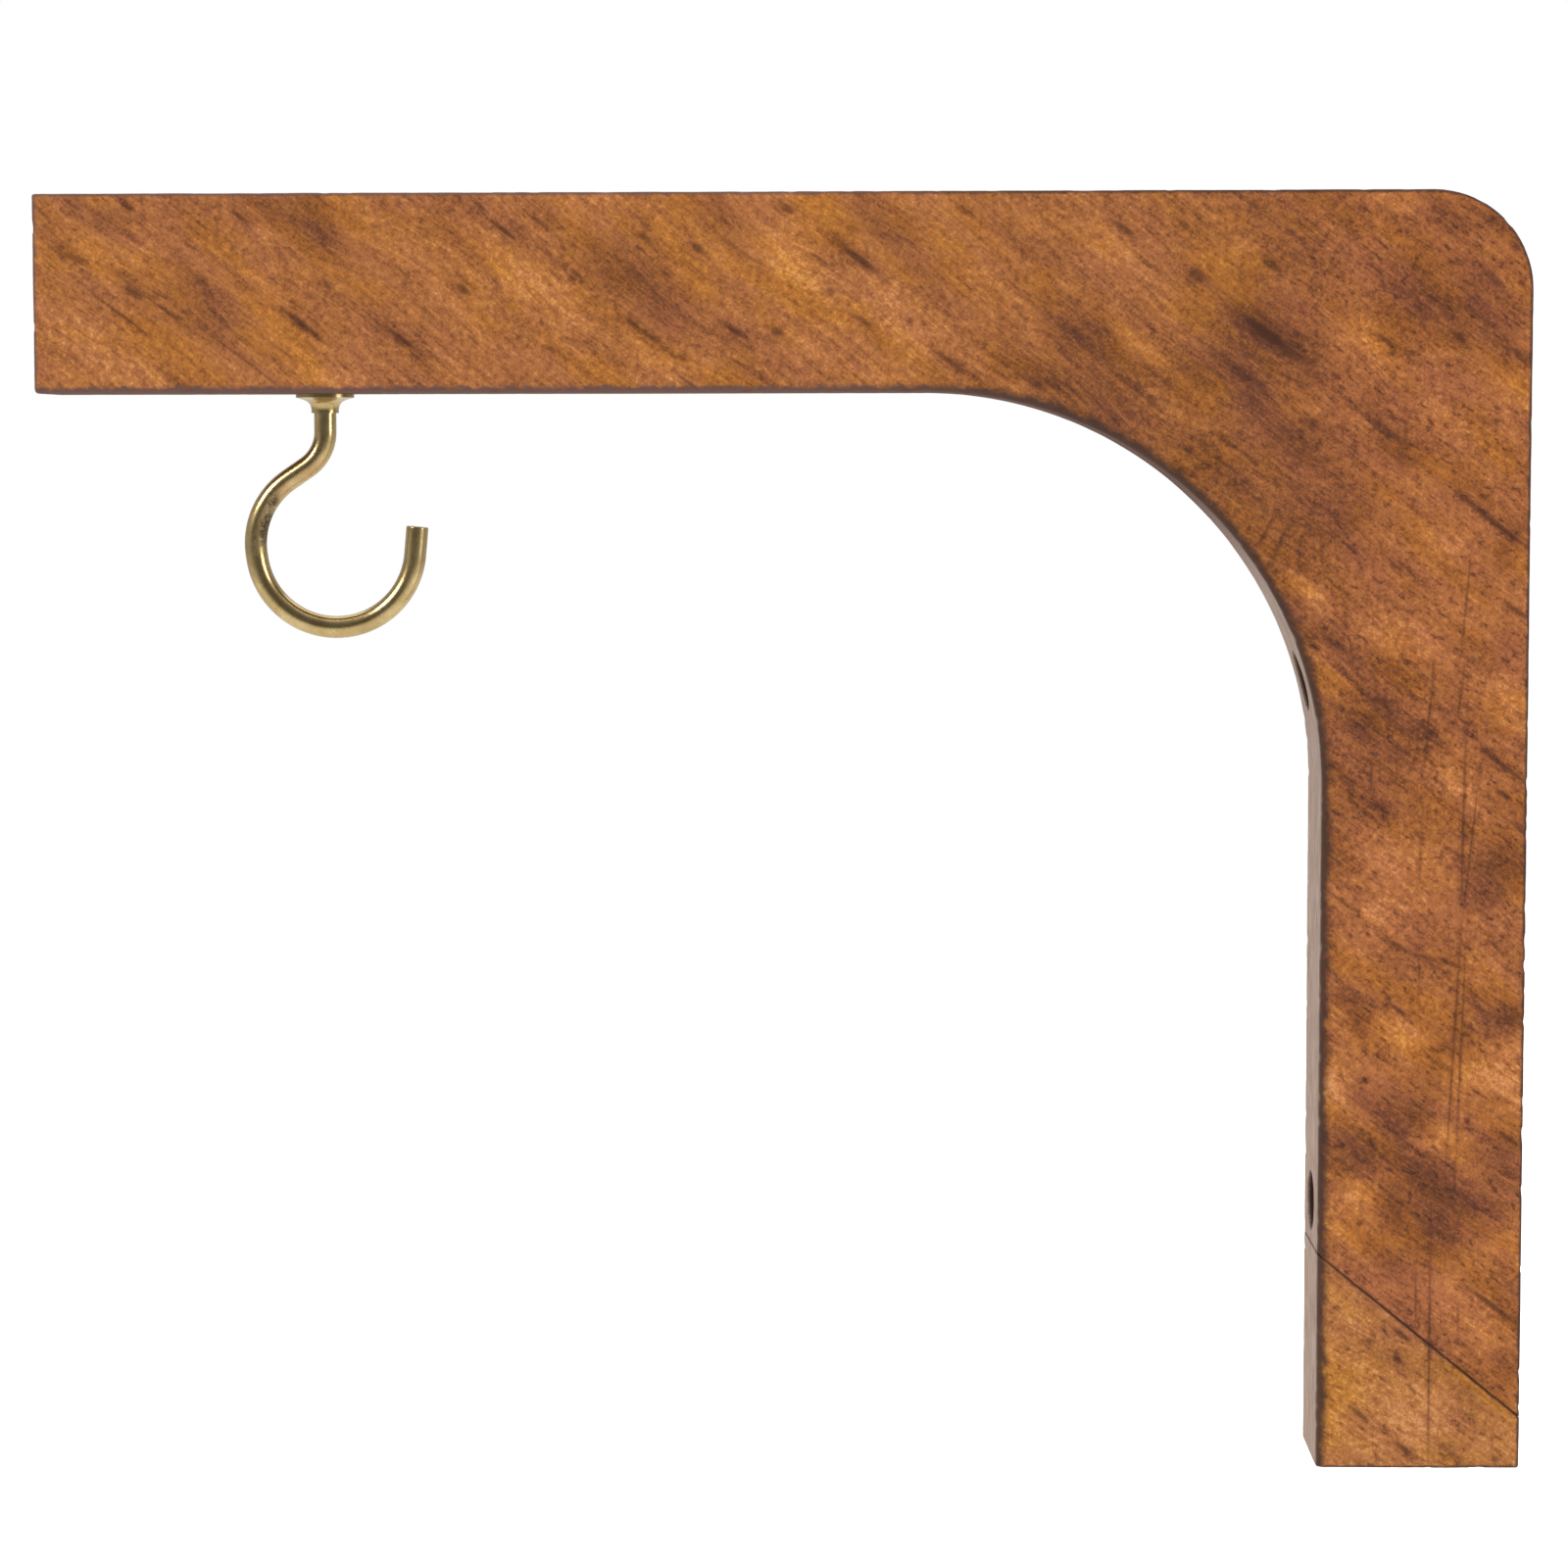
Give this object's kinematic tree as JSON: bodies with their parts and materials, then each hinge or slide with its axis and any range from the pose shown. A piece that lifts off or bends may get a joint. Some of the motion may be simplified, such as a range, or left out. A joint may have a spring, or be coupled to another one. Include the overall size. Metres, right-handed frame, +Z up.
{
  "type": "wall-mounted hook bracket",
  "caption": "Wooden L-shaped wall bracket for a hook and ring game: a brass cup hook hangs under the arm's free end and screw holes run through the upright.",
  "frame": {"origin": "on the wall face of the upright, midway between the two screw holes and in the middle of the board's thickness", "axes": "+X points into the wall, the arm reaches out along -X, +Z points up the wall, and Y runs across the board's thickness"},
  "size_m": [0.21, 0.019, 0.181],
  "materials": {
    "board_wood": "brown stained and lightly oiled hardwood, satin, with darker sanded edges",
    "toe_wood": "the same stained hardwood, from a slightly lighter stave",
    "hook_brass": "polished drawn brass wire, lightly tarnished",
    "collar_brass": "polished pressed brass"
  },
  "bodies": {
    "bracket": {"bracket_board": "board_wood", "bracket_toe": "toe_wood"},
    "collar": {"hook_collar": "collar_brass"},
    "hook": {"cup_hook": "hook_brass"}
  },
  "joints": [
    {"name": "hook_feed", "type": "slide", "parent": "bracket", "child": "collar", "axis": [0, 0, -1], "range_m": [0, 0.0101]},
    {"name": "hook_turn", "type": "hinge", "parent": "collar", "child": "hook", "pos_m": [-0.1702, 0, 0.0785], "axis": [0, 0, -1], "range_deg": [0, 2430]}
  ],
  "couplings": [
    {"joint": "hook_turn", "follows": "hook_feed", "rad_per_m": 4188.8}
  ]
}
